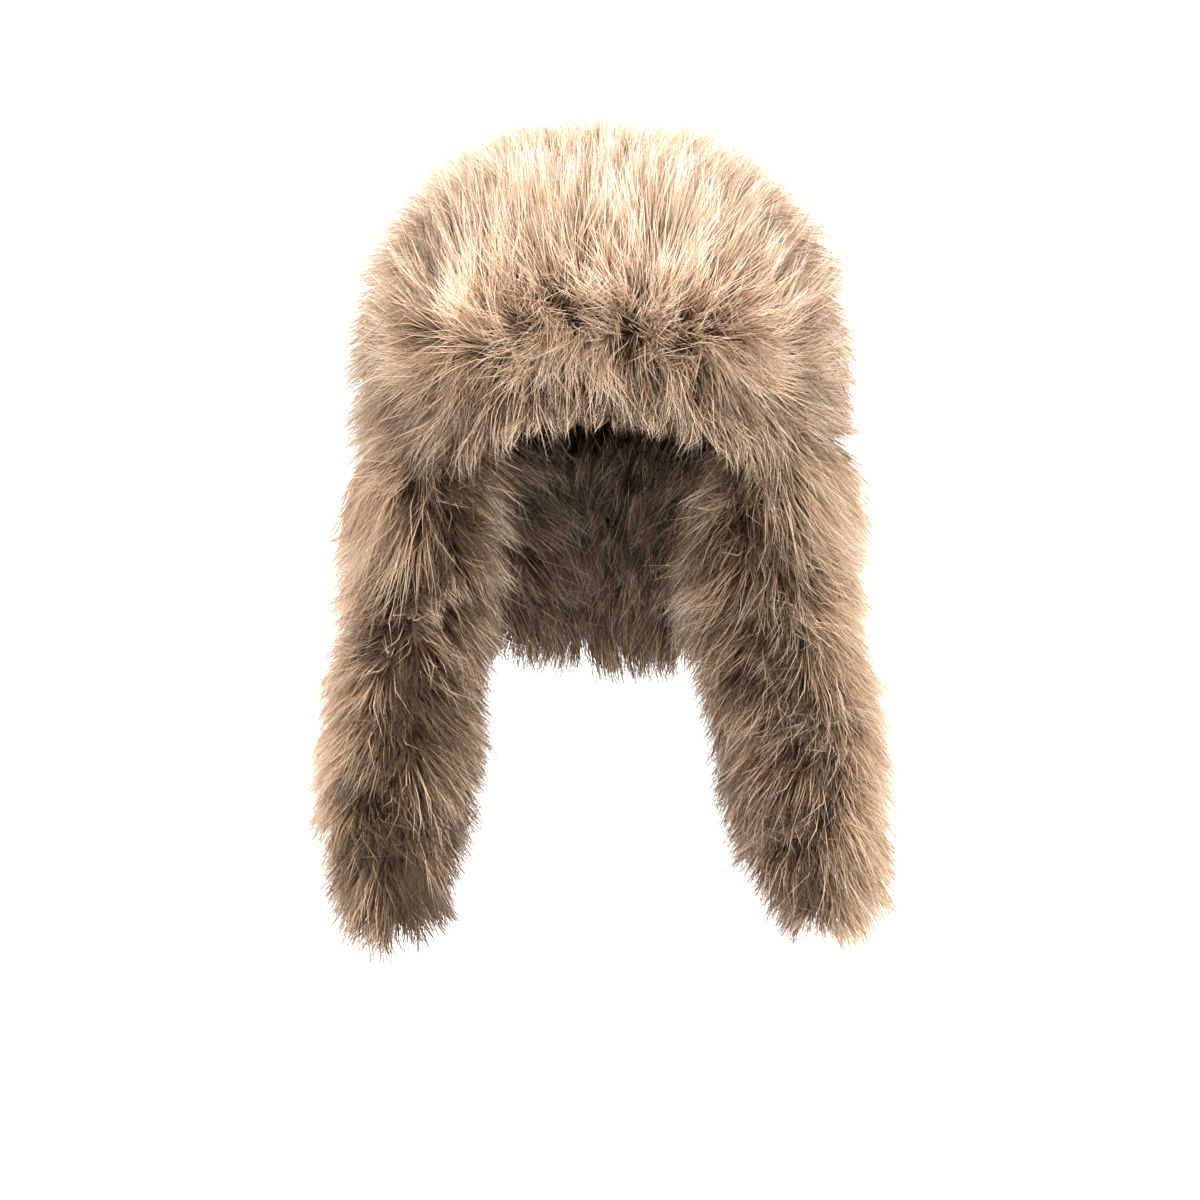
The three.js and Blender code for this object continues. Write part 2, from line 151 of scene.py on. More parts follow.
# The studio
FLOOR_HEIGHT = -0.446
FLOOR_FLAT = 1.4  # from the middle to where the floor begins to turn up
FLOOR_BOW = 2.6
FLOOR_COLOUR = (0.84, 0.84, 0.83, 1.0)
LIGHTS = (
    # name, place, what it points at, width and height, watts, colour
    ("light_over_back", (0.0, 0.8, 1.3), (0, 0, -0.05), (1.8, 0.9), 52, (1.0, 0.97, 0.93)),
    ("light_over_front", (0.0, -0.5, 1.6), (0, 0, -0.1), (1.6, 0.6), 82, (1.0, 1.0, 1.0)),
    ("light_left", (-1.5, -0.6, 0.5), (0, 0, -0.2), (0.8, 1.0), 27, (1.0, 1.0, 1.0)),
    ("light_right", (1.5, -0.6, 0.5), (0, 0, -0.2), (0.8, 1.0), 29, (1.0, 1.0, 1.0)),
    ("light_wall", (0.0, 1.6, 1.6), (0, 3.6, 0.6), (4.0, 1.0), 190, (1.0, 1.0, 1.0)),
)
SKY = 0.17
CAMERA_AIM = (-0.001, 0.0, -0.201)
CAMERA_DISTANCE = 1.6
CAMERA_ELEVATION = math.radians(6)
CAMERA_LENS = 98.0


class Socket:
    """An output of a node, so that formulas on it read as Python."""

    def __init__(self, tree, socket):
        self.tree = tree
        self.socket = socket
        self.is_vector = socket.type in {"VECTOR", "RGBA"}

    def __add__(self, other):
        return self.tree.work("ADD", self, other)

    def __sub__(self, other):
        return self.tree.work("SUBTRACT", self, other)

    def __rsub__(self, other):
        return self.tree.work("SUBTRACT", other, self)

    def __mul__(self, other):
        return self.tree.work("MULTIPLY", self, other)

    def __truediv__(self, other):
        return self.tree.work("DIVIDE", self, other)

    def __rtruediv__(self, other):
        return self.tree.work("DIVIDE", other, self)

    def __pow__(self, other):
        return self.tree.work("POWER", self, other)

    __radd__ = __add__
    __rmul__ = __mul__


class Tree:
    """A node tree, with short ways to add to it."""

    def __init__(self, tree):
        self.tree = tree

    def node(self, kind, settings=None, **values):
        made = self.tree.nodes.new(kind)
        for name, value in (settings or {}).items():
            setattr(made, name, value)
        for name, value in values.items():
            title = name.replace("_", " ")
            self.feed(next(s for s in made.inputs if s.enabled and s.name == title), value)
        return made

    def feed(self, socket, value):
        if isinstance(value, Socket):
            self.tree.links.new(value.socket, socket)
        else:
            socket.default_value = value

    def out(self, node, name=None):
        return Socket(self, next(s for s in node.outputs if s.enabled and name in (None, s.name)))

    def work(self, operation, *terms):
        vectors = any(isinstance(t, tuple) or getattr(t, "is_vector", False) for t in terms)
        kind = "ShaderNodeVectorMath" if vectors else "ShaderNodeMath"
        made = self.node(kind, {"operation": operation})
        for socket, term in zip(made.inputs, terms):
            if vectors and isinstance(term, (int, float)):
                term = (term, term, term)
            self.feed(socket, term)
        return self.out(made)

    def ease(self, value, low, high, to_low=0.0, to_high=1.0):
        made = self.node(
            "ShaderNodeMapRange",
            {"interpolation_type": "SMOOTHSTEP"},
            Value=value,
            From_Min=low,
            From_Max=high,
            To_Min=to_low,
            To_Max=to_high,
        )
        return self.out(made, "Result")

    def mix(self, factor, first, second):
        made = self.node("ShaderNodeMix", {"data_type": "RGBA"}, Factor=factor, A=first, B=second)
        return self.out(made, "Result")


def strand_tree():
    """The tree that grows strands in locks and tufts on a skin: long bent ones over fine straight ones."""
    group = bpy.data.node_groups.new("Pile of strands", "GeometryNodeTree")
    for title, kind in (
        ("Skin", "Geometry"),
        ("Guard hairs per square metre", "Float"),
        ("Fine hairs per square metre", "Float"),
        ("Guard hair radius", "Float"),
        ("Fine hair radius", "Float"),
        ("Lock size", "Float"),
        ("Tuft size", "Float"),
        ("Lowest corner", "Vector"),
        ("Highest corner", "Vector"),
        ("Seed", "Int"),
        ("Fur", "Material"),
    ):
        group.interface.new_socket(title, in_out="INPUT", socket_type=f"NodeSocket{kind}")
    group.interface.new_socket("Pile", in_out="OUTPUT", socket_type="NodeSocketGeometry")
    t = Tree(group)
    given = group.nodes.new("NodeGroupInput")
    skin = t.out(given, "Skin")
    place = t.out(t.node("GeometryNodeInputPosition"))

    def attribute(name, kind="FLOAT_VECTOR"):
        return t.out(t.node("GeometryNodeInputNamedAttribute", {"data_type": kind}, Name=name))

    def keep(geometry, name, value, kind="FLOAT_VECTOR", domain="POINT"):
        settings = {"data_type": kind, "domain": domain}
        kept = t.node("GeometryNodeStoreNamedAttribute", settings, Geometry=geometry, Name=name, Value=value)
        return t.out(kept)

    root_aim = attribute("root_aim")
    tip_aim = attribute("tip_aim")
    tangle = attribute("tangle", "FLOAT")
    highest = t.out(given, "Highest corner")

    def cell(size):
        """The way along the skin to the middle of a lock or tuft, and a colour drawn for it"""
        found = t.node("ShaderNodeTexVoronoi", {"voronoi_dimensions": "3D"}, Vector=place, Scale=1 / size)
        middle = t.out(found, "Position") - place
        return middle - root_aim * t.work("DOT_PRODUCT", middle, root_aim), t.out(found, "Color")

    lock_pull, lock_draw = cell(t.out(given, "Lock size"))
    tuft_pull, tuft_draw = cell(t.out(given, "Tuft size"))
    lock_parts = t.node("ShaderNodeSeparateXYZ", Vector=lock_draw)
    lock_chance, lock_tint = t.out(lock_parts, "X"), t.out(lock_parts, "Z")
    tuft_chance = t.out(t.node("ShaderNodeSeparateXYZ", Vector=tuft_draw), "Y")

    def grow(per_area, radius, segments, tallness, palest, seed):
        def chance(low, high, turn, kind="FLOAT"):
            settings = {"data_type": kind}
            return t.out(t.node("FunctionNodeRandomValue", settings, Min=low, Max=high, Seed=seed + turn))

        sown = t.node(
            "GeometryNodeDistributePointsOnFaces",
            {"distribute_method": "RANDOM"},
            Mesh=skin,
            Density=per_area * attribute("growth", "FLOAT"),
            Seed=seed,
        )
        own = chance((-1.0, -1.0, -1.0), (1.0, 1.0, 1.0), 11, "FLOAT_VECTOR")
        stray = t.ease(chance(0.0, 1.0, 12), STRAY_FROM, 1.0, 1.0, STRAY_MOST)
        ragged = attribute("ragged", "FLOAT") * chance(0.0, 1.0, 13) ** 2.0
        varies = SHORTEST + LOCK_LONGER * lock_chance + TUFT_LONGER * tuft_chance - ragged
        length = attribute("reach", "FLOAT") * varies * tallness
        lean = (lock_draw - 0.5) * LOCK_LEAN + (tuft_draw - 0.5) * LOCK_LEAN + own * stray * OWN_LEAN
        pull = (lock_pull * GATHERED + tuft_pull * GATHERED) * attribute("gather", "FLOAT")
        start = root_aim * length + pull * GATHERED_LOW
        bend = (tip_aim - root_aim) * (length * 0.5) + pull + lean * tangle * length
        limit = t.work("MINIMUM", length * LONGEST / t.work("LENGTH", start + bend), 1.0)
        start = start * limit
        bend = bend * limit
        tip = place + start + bend
        held = t.work("MINIMUM", t.work("MAXIMUM", tip, t.out(given, "Lowest corner")), highest)
        bend = bend + (held - tip)
        pale = chance(0.0, 1.0, 14) ** PALE_ARE_FEW * palest - MEAN_SHADE
        shade = (lock_tint - 0.5) * LOCK_TINT + (tuft_chance - 0.5) * TUFT_TINT + pale
        shade = attribute("tone", "FLOAT") + shade * attribute("contrast", "FLOAT")
        shade = t.work("MINIMUM", t.work("MAXIMUM", shade, 0.0), 1.0)
        points = keep(t.out(sown, "Points"), "root", place)
        points = keep(points, "start", start)
        points = keep(points, "bend", bend)
        points = keep(points, "shade", shade, "FLOAT")
        cone = t.node(
            "GeometryNodeMeshCone",
            {"fill_type": "NGON"},
            Vertices=3,
            Side_Segments=segments,
            Radius_Top=0.0,
            Radius_Bottom=1.0,
            Depth=1.0,
        )
        placed = t.node("GeometryNodeInstanceOnPoints", Points=points, Instance=t.out(cone, "Mesh"))
        grown = t.out(t.node("GeometryNodeRealizeInstances", Geometry=t.out(placed)))

        # A strand stands at its root as a unit cone here, so its map is kept before it is bent
        root = attribute("root")
        shape = t.node("ShaderNodeSeparateXYZ", Vector=place - root)
        across_by, through_by, way = (t.out(shape, axis) for axis in "XYZ")
        column = SHADE_MARGIN + (1 - 2 * SHADE_MARGIN) * attribute("shade", "FLOAT")
        height = SKIN_PART + MAP_MARGIN + (1 - 2 * MAP_MARGIN - SKIN_PART) * way
        column = column + STRAND_ON_MAP * across_by
        height = height + STRAND_ON_MAP * through_by
        mapped = t.out(t.node("ShaderNodeCombineXYZ", X=column, Y=height))
        grown = keep(grown, "OFBake", mapped, "FLOAT2", "CORNER")
        heading = attribute("start") + attribute("bend") * way
        across = t.work("NORMALIZE", t.work("CROSS_PRODUCT", heading, (0.31, 0.87, 0.39)))
        through = t.work("NORMALIZE", t.work("CROSS_PRODUCT", heading, across))
        girth = radius * (1 + SPREAD * way)
        spine = root + attribute("start") * way + attribute("bend") * (way * way)
        bent = spine + across * (across_by * girth) + through * (through_by * girth)
        return t.out(t.node("GeometryNodeSetPosition", Geometry=grown, Position=bent))

    guards = grow(
        t.out(given, "Guard hairs per square metre"),
        t.out(given, "Guard hair radius"),
        segments=2,
        tallness=1.08,
        palest=1.3,
        seed=t.out(given, "Seed"),
    )
    fines = grow(
        t.out(given, "Fine hairs per square metre"),
        t.out(given, "Fine hair radius"),
        segments=1,
        tallness=0.88,
        palest=0.7,
        seed=t.out(given, "Seed") + 50,
    )
    joined = t.node("GeometryNodeJoinGeometry")
    for part in (guards, fines, skin):
        t.feed(joined.inputs[0], part)
    smooth = t.node("GeometryNodeSetShadeSmooth", Geometry=t.out(joined))
    whole = t.node("GeometryNodeSetMaterial", Geometry=t.out(smooth), Material=t.out(given, "Fur"))
    t.feed(group.nodes.new("NodeGroupOutput").inputs[0], t.out(whole))
    return group


def unit(vectors):
    return vectors / np.maximum(np.linalg.norm(vectors, axis=-1, keepdims=True), 1e-9)


def eased(value, low, high):
    share = np.clip((value - low) / (high - low), 0, 1)
    return share * share * (3 - 2 * share)


def near(distance, width):
    """1 at a distance of nothing, and less further away on both sides"""
    return np.exp(-((distance / width) ** 2))


def tousled(aim, fine, broad, seed):
    """Aims turned a little at random, from point to point and over broader patches"""
    draw = np.random.default_rng(seed)
    patches = draw.normal(size=aim.shape)
    for _ in range(14):
        patches = (np.roll(patches, 1, 1) + patches + np.roll(patches, -1, 1)) / 3
        patches[1:-1] = (patches[:-2] + patches[1:-1] + patches[2:]) / 3
    patches /= patches.std()
    return aim + draw.normal(size=aim.shape) * fine + patches * broad


def rim_depth(around):
    rise = np.clip((np.cos(around) - FRONT_RISE_ENDS) / (1 - FRONT_RISE_ENDS), 0, 1)
    return RIM_DEPTH - FRONT_RISE * rise**2


def crown_point(around, down, out):
    """A point of the crown: an angle from the front, the way down, and a distance off its inside"""
    turn = np.minimum(down / DOME_SHARE, 1) * math.pi / 2
    band = np.maximum(down - DOME_SHARE, 0) / (1 - DOME_SHARE)
    x = (HEAD_HALF_WIDTH + out) * np.sin(turn) * np.sin(around)
    y = -(HEAD_HALF_DEPTH + out) * np.sin(turn) * np.cos(around)
    z = (DOME_HEIGHT + out) * np.cos(turn) - DOME_HEIGHT - band * (rim_depth(around) - DOME_HEIGHT)
    return np.stack(np.broadcast_arrays(x, y, z), -1)


def front_place(across, fall, grow):
    """Where on the crown a point of the front flap lies, grown past its outline"""
    around = across * (FRONT_HALF_ANGLE + grow / HEAD_HALF_DEPTH)
    top = FRONT_TOP + FRONT_CORNER * across**4 - grow / WAY_DOWN
    fold = 1 + grow * (0.35 + 0.6 * across**2) / WAY_DOWN
    return around, top + (fold - top) * fall


def ear_middle(side, y, fall):
    half_width = HEAD_HALF_WIDTH + WALL / 2
    curve = half_width * (1 - np.sqrt(1 - (y / (HEAD_HALF_DEPTH + WALL / 2)) ** 2))
    return np.interp(fall, EAR_FALLS, EAR_HANGS[side]) - curve * (1 - eased(fall, 0, EAR_SETTLES))


def ear_point(side, across, fall, out, grow):
    share = np.clip(fall / (EAR_LENGTH + grow + EAR_TIP_REACH), 0, 1)
    y = across * (EAR_HALF_BREADTH + grow) * np.sqrt(1 - share**EAR_ROUNDING)
    slope = (ear_middle(side, y + 0.001, fall) - ear_middle(side, y - 0.001, fall)) / 0.002
    length = np.hypot(1, slope)
    x = side * (ear_middle(side, y, fall) + out / length)
    return np.stack(np.broadcast_arrays(x, y - out * slope / length, -RIM_DEPTH - GAP - fall), -1)


def neck_point(across, fall, out, grow):
    around = math.pi + across * (NECK_HALF_ANGLE + grow / HEAD_HALF_DEPTH)
    point = crown_point(around, 1.0, out)
    point[..., 2] = -RIM_DEPTH - GAP - fall * (1 - NECK_CORNER * across**4)
    return point


def facing(points):
    """Unit vectors out of a grid of points whose second direction runs round a ring"""
    along = np.gradient(points, axis=0)
    round_ring = np.roll(points, -1, axis=1) - np.roll(points, 1, axis=1)
    out = unit(np.cross(along, round_ring))
    middle = points.mean(axis=1, keepdims=True)
    if (out * (points - middle)).sum() < 0:
        out = -out
    return out


def skin_body(name, points, lays):
    """A closed skin through rings of points, with what the strands need kept on its corners"""
    rows, ring = points.shape[:2]
    corners = np.concatenate((points[:1].mean(1), points.reshape(-1, 3), points[-1:].mean(1)))
    last = len(corners) - 1
    faces, places = [], []
    for row in range(-1, rows):
        for i in range(ring):
            j = (i + 1) % ring
            above = [0] if row < 0 else [1 + row * ring + i, 1 + row * ring + j]
            below = [last] if row == rows - 1 else [1 + (row + 1) * ring + j, 1 + (row + 1) * ring + i]
            faces.append(above + below)
            left, right = (SKIN_SHADE + SKIN_SHADE_WIDTH * (i + step) / ring for step in (0, 1))
            heights = ((row + 1 + step) / (rows + 1) for step in (0, 1))
            top, bottom = (height * (SKIN_PART - MAP_MARGIN) + STRAND_ON_MAP for height in heights)
            upper = [(0.5 * (left + right), top)] if row < 0 else [(left, top), (right, top)]
            lower = [(left, bottom)] if row == rows - 1 else [(right, bottom), (left, bottom)]
            places += upper + lower
    mesh = bpy.data.meshes.new(name)
    mesh.from_pydata(corners.tolist(), [], faces)
    chart = mesh.uv_layers.new(name="OFBake")
    chart.data.foreach_set("uv", np.array(places, np.float32).ravel())
    volume = sum(f.center.dot(f.normal) * f.area for f in mesh.polygons)
    if volume < 0:
        mesh.flip_normals()
    for title, values in lays.items():
        kind = "FLOAT_VECTOR" if values.ndim == 3 else "FLOAT"
        flat = values.reshape(rows * ring, -1)
        whole = np.concatenate((flat[:ring].mean(0)[None], flat, flat[-ring:].mean(0)[None]))
        kept = mesh.attributes.new(title, kind, "POINT")
        kept.data.foreach_set("vector" if values.ndim == 3 else "value", whole.astype(np.float32).ravel())
    return mesh


def growing_area(mesh):
    growth = np.array([g.value for g in mesh.attributes["growth"].data])
    return sum(f.area * growth[list(f.vertices)].mean() for f in mesh.polygons)


def pile(name, mesh, tree, fur, node, seed):
    """Grows the strands on a skin and puts the result in the place of a node"""
    piece = bpy.data.objects.new(name, mesh)
    bpy.context.scene.collection.objects.link(piece)
    grower = piece.modifiers.new("Strands", "NODES")
    grower.node_group = tree
    area = growing_area(mesh)
    lowest, highest = np.array(frame_bounds)
    proud = (highest - lowest) * PROUD_SHARE + PROUD
    values = {
        "Guard hairs per square metre": GUARD_HAIRS / area,
        "Fine hairs per square metre": FINE_HAIRS / area,
        "Guard hair radius": GUARD_RADIUS,
        "Fine hair radius": FINE_RADIUS,
        "Lock size": LOCK_SIZE,
        "Tuft size": TUFT_SIZE,
        "Lowest corner": (lowest - proud).tolist(),
        "Highest corner": (highest + proud).tolist(),
        "Seed": seed,
        "Fur": fur,
    }
    for item in tree.interface.items_tree:
        if item.name in values:
            grower[item.identifier] = values[item.name]
    evaluated = piece.evaluated_get(bpy.context.evaluated_depsgraph_get())
    grown = bpy.data.meshes.new_from_object(evaluated)
    piece.modifiers.remove(grower)
    for title in [a.name for a in grown.attributes if a.name in WORKING_NAMES]:
        grown.attributes.remove(grown.attributes[title])
    piece.data = grown
    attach(piece, "root")
    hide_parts(node)
    return piece


def lays_of(root_aim, tip_aim, seed, sway, **values):
    """All that the strands need at each point of a skin, with the usual values where none are given"""
    shape = root_aim.shape[:2]
    full = {name: np.broadcast_to(v, shape).astype(float) for name, v in (USUAL_LAY | values).items()}
    root_aim = tousled(unit(root_aim), 0.1, 0.6 * sway, seed)
    tip_aim = tousled(unit(tip_aim), 0.15, sway, seed)
    return {"root_aim": unit(root_aim), "tip_aim": unit(tip_aim)} | full


def crown_skin():
    """The crown's fur stands out of the dome and leans down and away from the middle of its top."""
    outer_downs = np.linspace(0.03, 1.0, CROWN_ROWS)
    downs = np.concatenate((outer_downs, outer_downs[::-1][::3]))
    around, down = np.meshgrid(np.linspace(0, 2 * math.pi, 72, endpoint=False), downs)
    aside = np.abs((around + math.pi) % (2 * math.pi) - math.pi)
    front_top = FRONT_TOP + FRONT_CORNER * np.minimum(aside / FRONT_HALF_ANGLE, 1) ** 4
    under_flap = eased(down, front_top - 0.01, front_top + 0.05) * (1 - eased(aside, 0.95, 1.05))
    is_outer = np.arange(len(downs))[:, None] < CROWN_ROWS
    out = WALL + np.where(is_outer, CROWN_SKIN + (THIN_SKIN - CROWN_SKIN) * under_flap, GAP)
    points = crown_point(around, down, out)
    off = unit(crown_point(around, down, 0.05) - crown_point(around, down, 0.0))
    fall = unit(crown_point(around, down + 0.02, out) - points)
    growth = (1 - under_flap) * is_outer
    low = eased(down, 0.1, 0.7)[..., None]
    before = (eased(down, 0.08, 0.3) * (1 - eased(aside, 0.8, 1.3)))[..., None]
    root_aim = off * 0.9 + fall * (0.35 - 0.4 * before)
    tip_aim = off * (0.75 - 0.2 * low) + fall * (0.45 + 0.3 * low - 0.6 * before) + DOWN * 0.1 * low
    reach = 0.036 + 0.005 * eased(down, 0.1, 0.3) + 0.006 * eased(down, 0.5, 0.75)
    right = np.maximum(np.sin(around), 0)
    reach = reach + 0.006 * right * eased(down, 0.2, 0.4) * (1 - eased(down, 0.5, 0.65))
    reach = reach - 0.009 * right * eased(down, 0.7, 0.95)
    # Painted shade in the crown's colour: darker lower down the dome, darker on its right side from partway
    # down, darker in a band along the front flap's top edge at its sides where that edge shades it, and
    # darker on the front of the dome below its top to damp the front light there
    painted_seam_shadow = near(down - front_top - 0.02, 0.06) * near(aside - 0.95, 0.3)
    front_painted_shade = eased(down, 0.12, 0.3) * (1 - eased(aside, 0.8, 1.4))
    tone = 0.68 - 0.14 * eased(down, 0.3, 0.9) - 0.3 * painted_seam_shadow - 0.1 * right * eased(down, 0.3, 0.5)
    tone = tone - 0.15 * front_painted_shade
    values = {"reach": reach, "tone": tone, "growth": growth, "contrast": 0.7, "tangle": 0.8}
    lays = lays_of(root_aim, tip_aim, 1, 0.19, **values)
    return skin_body("crown_pile", points, lays)


def flap_rows(count):
    """Places across a flap, closer together near its sides, and how plump its fur is there"""
    turn = np.linspace(-1, 1, count)
    across = (np.sin(turn * math.pi / 2) * 0.55 + turn * 0.45)[:, None]
    plump = np.clip(1 - np.abs(across) ** 8, 0.02, 1) ** 0.5
    return across, plump


def section_ring(flat, count):
    """How far along and how far out the points of a flattened ring lie, outer face first"""
    turn = np.linspace(0, 2 * math.pi, count, endpoint=False)
    along = np.sign(-np.cos(turn)) * np.abs(np.cos(turn)) ** 0.9
    out = np.sign(np.sin(turn)) * np.abs(np.sin(turn)) ** flat
    return along, out


def front_skin():
    """The front flap's fur spreads from a short ridge: up, to both sides, and down as a fringe."""
    across, plump = flap_rows(50)
    along, out = section_ring(0.5, 84)
    fall = (along[None] + 1) / 2
    out = out[None]
    middle = 2 * WALL + GAP + FRONT_SKIN
    off_wall = np.where(out > 0, WALL + GAP + (middle - WALL) * plump * out, WALL + GAP)
    around, down = front_place(across, fall, FRONT_PAST_EDGE)
    points = crown_point(around, down, off_wall)
    face = facing(points)
    side = unit(crown_point(around + 0.02, down, off_wall) - points)
    drop = unit(crown_point(around, down + 0.02, off_wall) - points)
    from_side = around * HEAD_HALF_DEPTH
    ridge = RIDGE + RIDGE_DROP / WAY_DOWN * (from_side / RIDGE_SIDE) ** 2
    off_ridge = (down - ridge) * WAY_DOWN
    uneven = np.random.default_rng(4).normal(size=points.shape[:2] + (2,)) * near(off_ridge, 0.018)[..., None]
    from_ridge = off_ridge + 0.005 * uneven[..., 0] + 0.005 * np.cos(9 * around + 1)
    leaning = np.tanh(from_ridge / 0.008)[..., None]
    beyond = from_side - np.clip(from_side, -RIDGE_STRAIGHT, RIDGE_STRAIGHT)
    fanned = (beyond / RIDGE_SIDE + 0.2 * uneven[..., 1])[..., None]
    lay = unit(drop * leaning + side * fanned)
    laid = 0.75 + 0.25 * np.abs(leaning)
    below = eased(from_ridge, 0.0, 0.03)[..., None]
    room = points[..., 2] - np.interp(np.abs(points[..., 0]), FRINGE_SIDES, FRINGE_ENDS)
    fringe = 1 - eased(room, 0.012, 0.05)
    upper = (1 - eased(down, FRONT_TOP + 0.04, 0.6)) * (1 - eased(np.abs(across), 0.6, 0.95))
    crossing = near(off_ridge, 0.015)
    # Painted light and shade in the front flap's colour: darker at its top where the overhead light falls
    # strongest, darker towards the fringe at the bottom whose underside lies in shade, darker towards both
    # sides, and lighter along the ridge to lift the shade in the hollows there
    tone = 0.42 + 0.11 * eased(down, FRONT_TOP, 0.6) - 0.2 * eased(down, 0.7, 1.0)
    tone = tone + 0.32 * crossing - 0.17 * eased(np.abs(across), 0.4, 0.8)
    root_aim = face * (0.85 - 0.3 * laid) + lay * (0.4 + 0.3 * laid)
    tip_aim = face * (0.5 - 0.3 * laid + 0.7 * upper[..., None]) + lay + DOWN * 0.4 * below
    reach = 0.028 + 0.017 * eased(down, FRONT_TOP, 0.6) + 0.008 * upper
    reach = np.minimum(reach, 0.011 + np.maximum(room, 0) * 1.3) * (1 - 0.25 * crossing)
    values = {
        "reach": reach,
        "tone": tone,
        "growth": (out > -0.05) * (1 - 0.5 * fringe + 1.2 * crossing),
        "tangle": 0.5 + 2.2 * crossing + 0.15 * fringe,
        "gather": 0.7 + 1.4 * fringe,
        "contrast": 0.85 + 1.35 * fringe - 0.25 * upper,
        "ragged": 0.3 + 0.5 * fringe + 0.3 * upper,
    }
    lays = lays_of(root_aim, tip_aim, 6, 0.14, **values)
    return skin_body("front_flap_pile", points, lays)


def ear_skin(side, name):
    """An ear flap has fur on both faces and round its edge, parted down its front edge."""
    rows = np.sin(np.linspace(0, 1, 56) * math.pi / 2)[:, None] ** 0.9
    falls = BELOW_RIM + (EAR_LENGTH + PAST_EDGE) * rows
    turn = np.linspace(0, 2 * math.pi, 60, endpoint=False)
    across = -(np.sign(np.cos(turn)) * np.abs(np.cos(turn)) ** 0.8)[None]
    out = (np.sign(np.sin(turn)) * np.abs(np.sin(turn)) ** 0.55)[None]
    blunt = np.clip(1 - (falls / (EAR_LENGTH + 0.006)) ** 6, 0.05, 1) ** 0.5
    at_front = eased(-across, 0.5, 0.95) * np.ones_like(falls)
    inner = EAR_INNER_SKIN[side] * (0.45 + 0.55 * eased(falls, 0.0, 0.07))
    tuft_ends = np.interp(falls, (0.0, 0.074, 0.078, 0.11), (0.085, 0.014, 0.01, 0.045))
    notch = near(falls - 0.08, 0.014) * at_front * (side < 0)
    rounding = eased(falls, 0.165, 0.232)
    inner = inner * (1 - 0.7 * notch) * (1 - EAR_ROUNDED_OFF[side] * rounding)
    outer = np.interp(falls, EAR_OUTER_FALLS, EAR_OUTER_SKINS[side])
    thick = WALL / 2 + np.where(out > 0, outer, inner)
    points = ear_point(side, across, falls, out * thick * blunt, PAST_EDGE)
    face = facing(points)
    aside = np.zeros_like(points)
    aside[..., 0] = side * out
    parting = at_front[..., None]
    root_aim = face * (0.85 - 0.4 * parting) + DOWN * 0.65 + aside * 0.5 * parting
    tip_aim = face * 0.25 + DOWN * 0.95 + aside * 0.45 * parting
    wander = 0.3 * np.sin(70 * falls + side) + 0.2 * np.sin(190 * falls)
    matted = near(out + wander, 0.5) * at_front
    outward = eased(out, -0.2, 0.5)
    high = 1 - eased(falls, 0.02, 0.1)
    end = eased(falls, 0.15, EAR_LENGTH)
    reach = (0.044 + 0.008 * high * outward + 0.003 * end) * (1 - 0.5 * matted)
    reach = reach * (1 - 0.2 * rounding * (out < 0))
    if side < 0:
        reach = np.where(at_front * (out < 0) > 0.3, np.minimum(reach, tuft_ends), reach)
    # Painted shade in the ear flap's colour: the inner faces darker than the outer ones, most of all behind
    # the front edge, as they lie in shade inside the hat; the matted parting darker, partly as its own darker
    # fur and partly as painted shade in that crease; and the lower end darker
    tone = 0.31 + 0.47 * outward - 0.23 * (1 - outward) * (1 - at_front)
    tone = tone + (EAR_PALER[side] - EAR_PARTING_DARKER[side] * matted - EAR_END_PAINTED_SHADE[side] * end)
    tangle = 0.85 + 3.2 * matted
    growth = 1 + 1.2 * matted
    values = {"reach": reach, "tone": tone, "tangle": tangle, "growth": growth, "contrast": 1.15}
    lays = lays_of(root_aim, tip_aim, 4, 0.12, **values)
    return skin_body(name, points, lays)


def neck_skin():
    """The neck flap's fur lies down on both faces."""
    across, plump = flap_rows(44)
    along, out = section_ring(0.5, 64)
    fall = (along[None] + 1) / 2
    off = WALL / 2 + out[None] * (WALL / 2 + NECK_SKIN) * plump
    points = neck_point(across, BELOW_RIM + fall * (NECK_LENGTH + PAST_EDGE), off, PAST_EDGE)
    face = facing(points)
    root_aim = face * 0.85 + DOWN * 0.45
    tip_aim = face * 0.35 + DOWN * 0.85
    outward = eased(np.broadcast_to(out, face.shape[:2]), -0.2, 0.5)
    # Painted shade: the inner face is made far darker than the outer one, as it lies in shade inside the hat
    lays = lays_of(root_aim, tip_aim, 1, 0.2, reach=0.04 + 0.006 * outward, tone=0.02 + 0.43 * outward)
    return skin_body("neck_flap_pile", points, lays)


def linear(red, green, blue):
    """A colour as a shader wants it, from the 0 to 255 values that a screen shows"""
    values = [c / 255 for c in (red, green, blue)]
    return tuple(c / 12.92 if c < 0.04045 else ((c + 0.055) / 1.055) ** 2.4 for c in values) + (1.0,)


def new_material(name, roughness):
    material = bpy.data.materials.new(name)
    material.use_nodes = True
    shader = next(n for n in material.node_tree.nodes if n.type == "BSDF_PRINCIPLED")
    shader.inputs["Roughness"].default_value = roughness
    return material, Tree(material.node_tree), shader


def fur_material():
    """Strands with dark roots and pale tips. Across the map they go from dark ones to light ones."""
    material, t, shader = new_material("beige deep pile", 0.62)
    chart = t.node("ShaderNodeUVMap", {"uv_map": "OFBake"})
    parts = t.node("ShaderNodeSeparateXYZ", Vector=t.out(chart))
    shade = t.out(parts, "X")
    way = (t.out(parts, "Y") - SKIN_PART) / (1 - SKIN_PART)
    root, body, tip = (
        t.mix(shade, linear(*darkest), linear(*palest))
        for darkest, palest in (ROOT_COLOURS, BODY_COLOURS, TIP_COLOURS)
    )
    colour = t.mix(t.ease(way, 0.04, 0.5), root, body)
    colour = t.mix(t.ease(way, 0.6, 1.0), colour, tip)
    t.feed(shader.inputs["Base Color"], colour)
    shader.inputs["Specular IOR Level"].default_value = 0.3
    return material


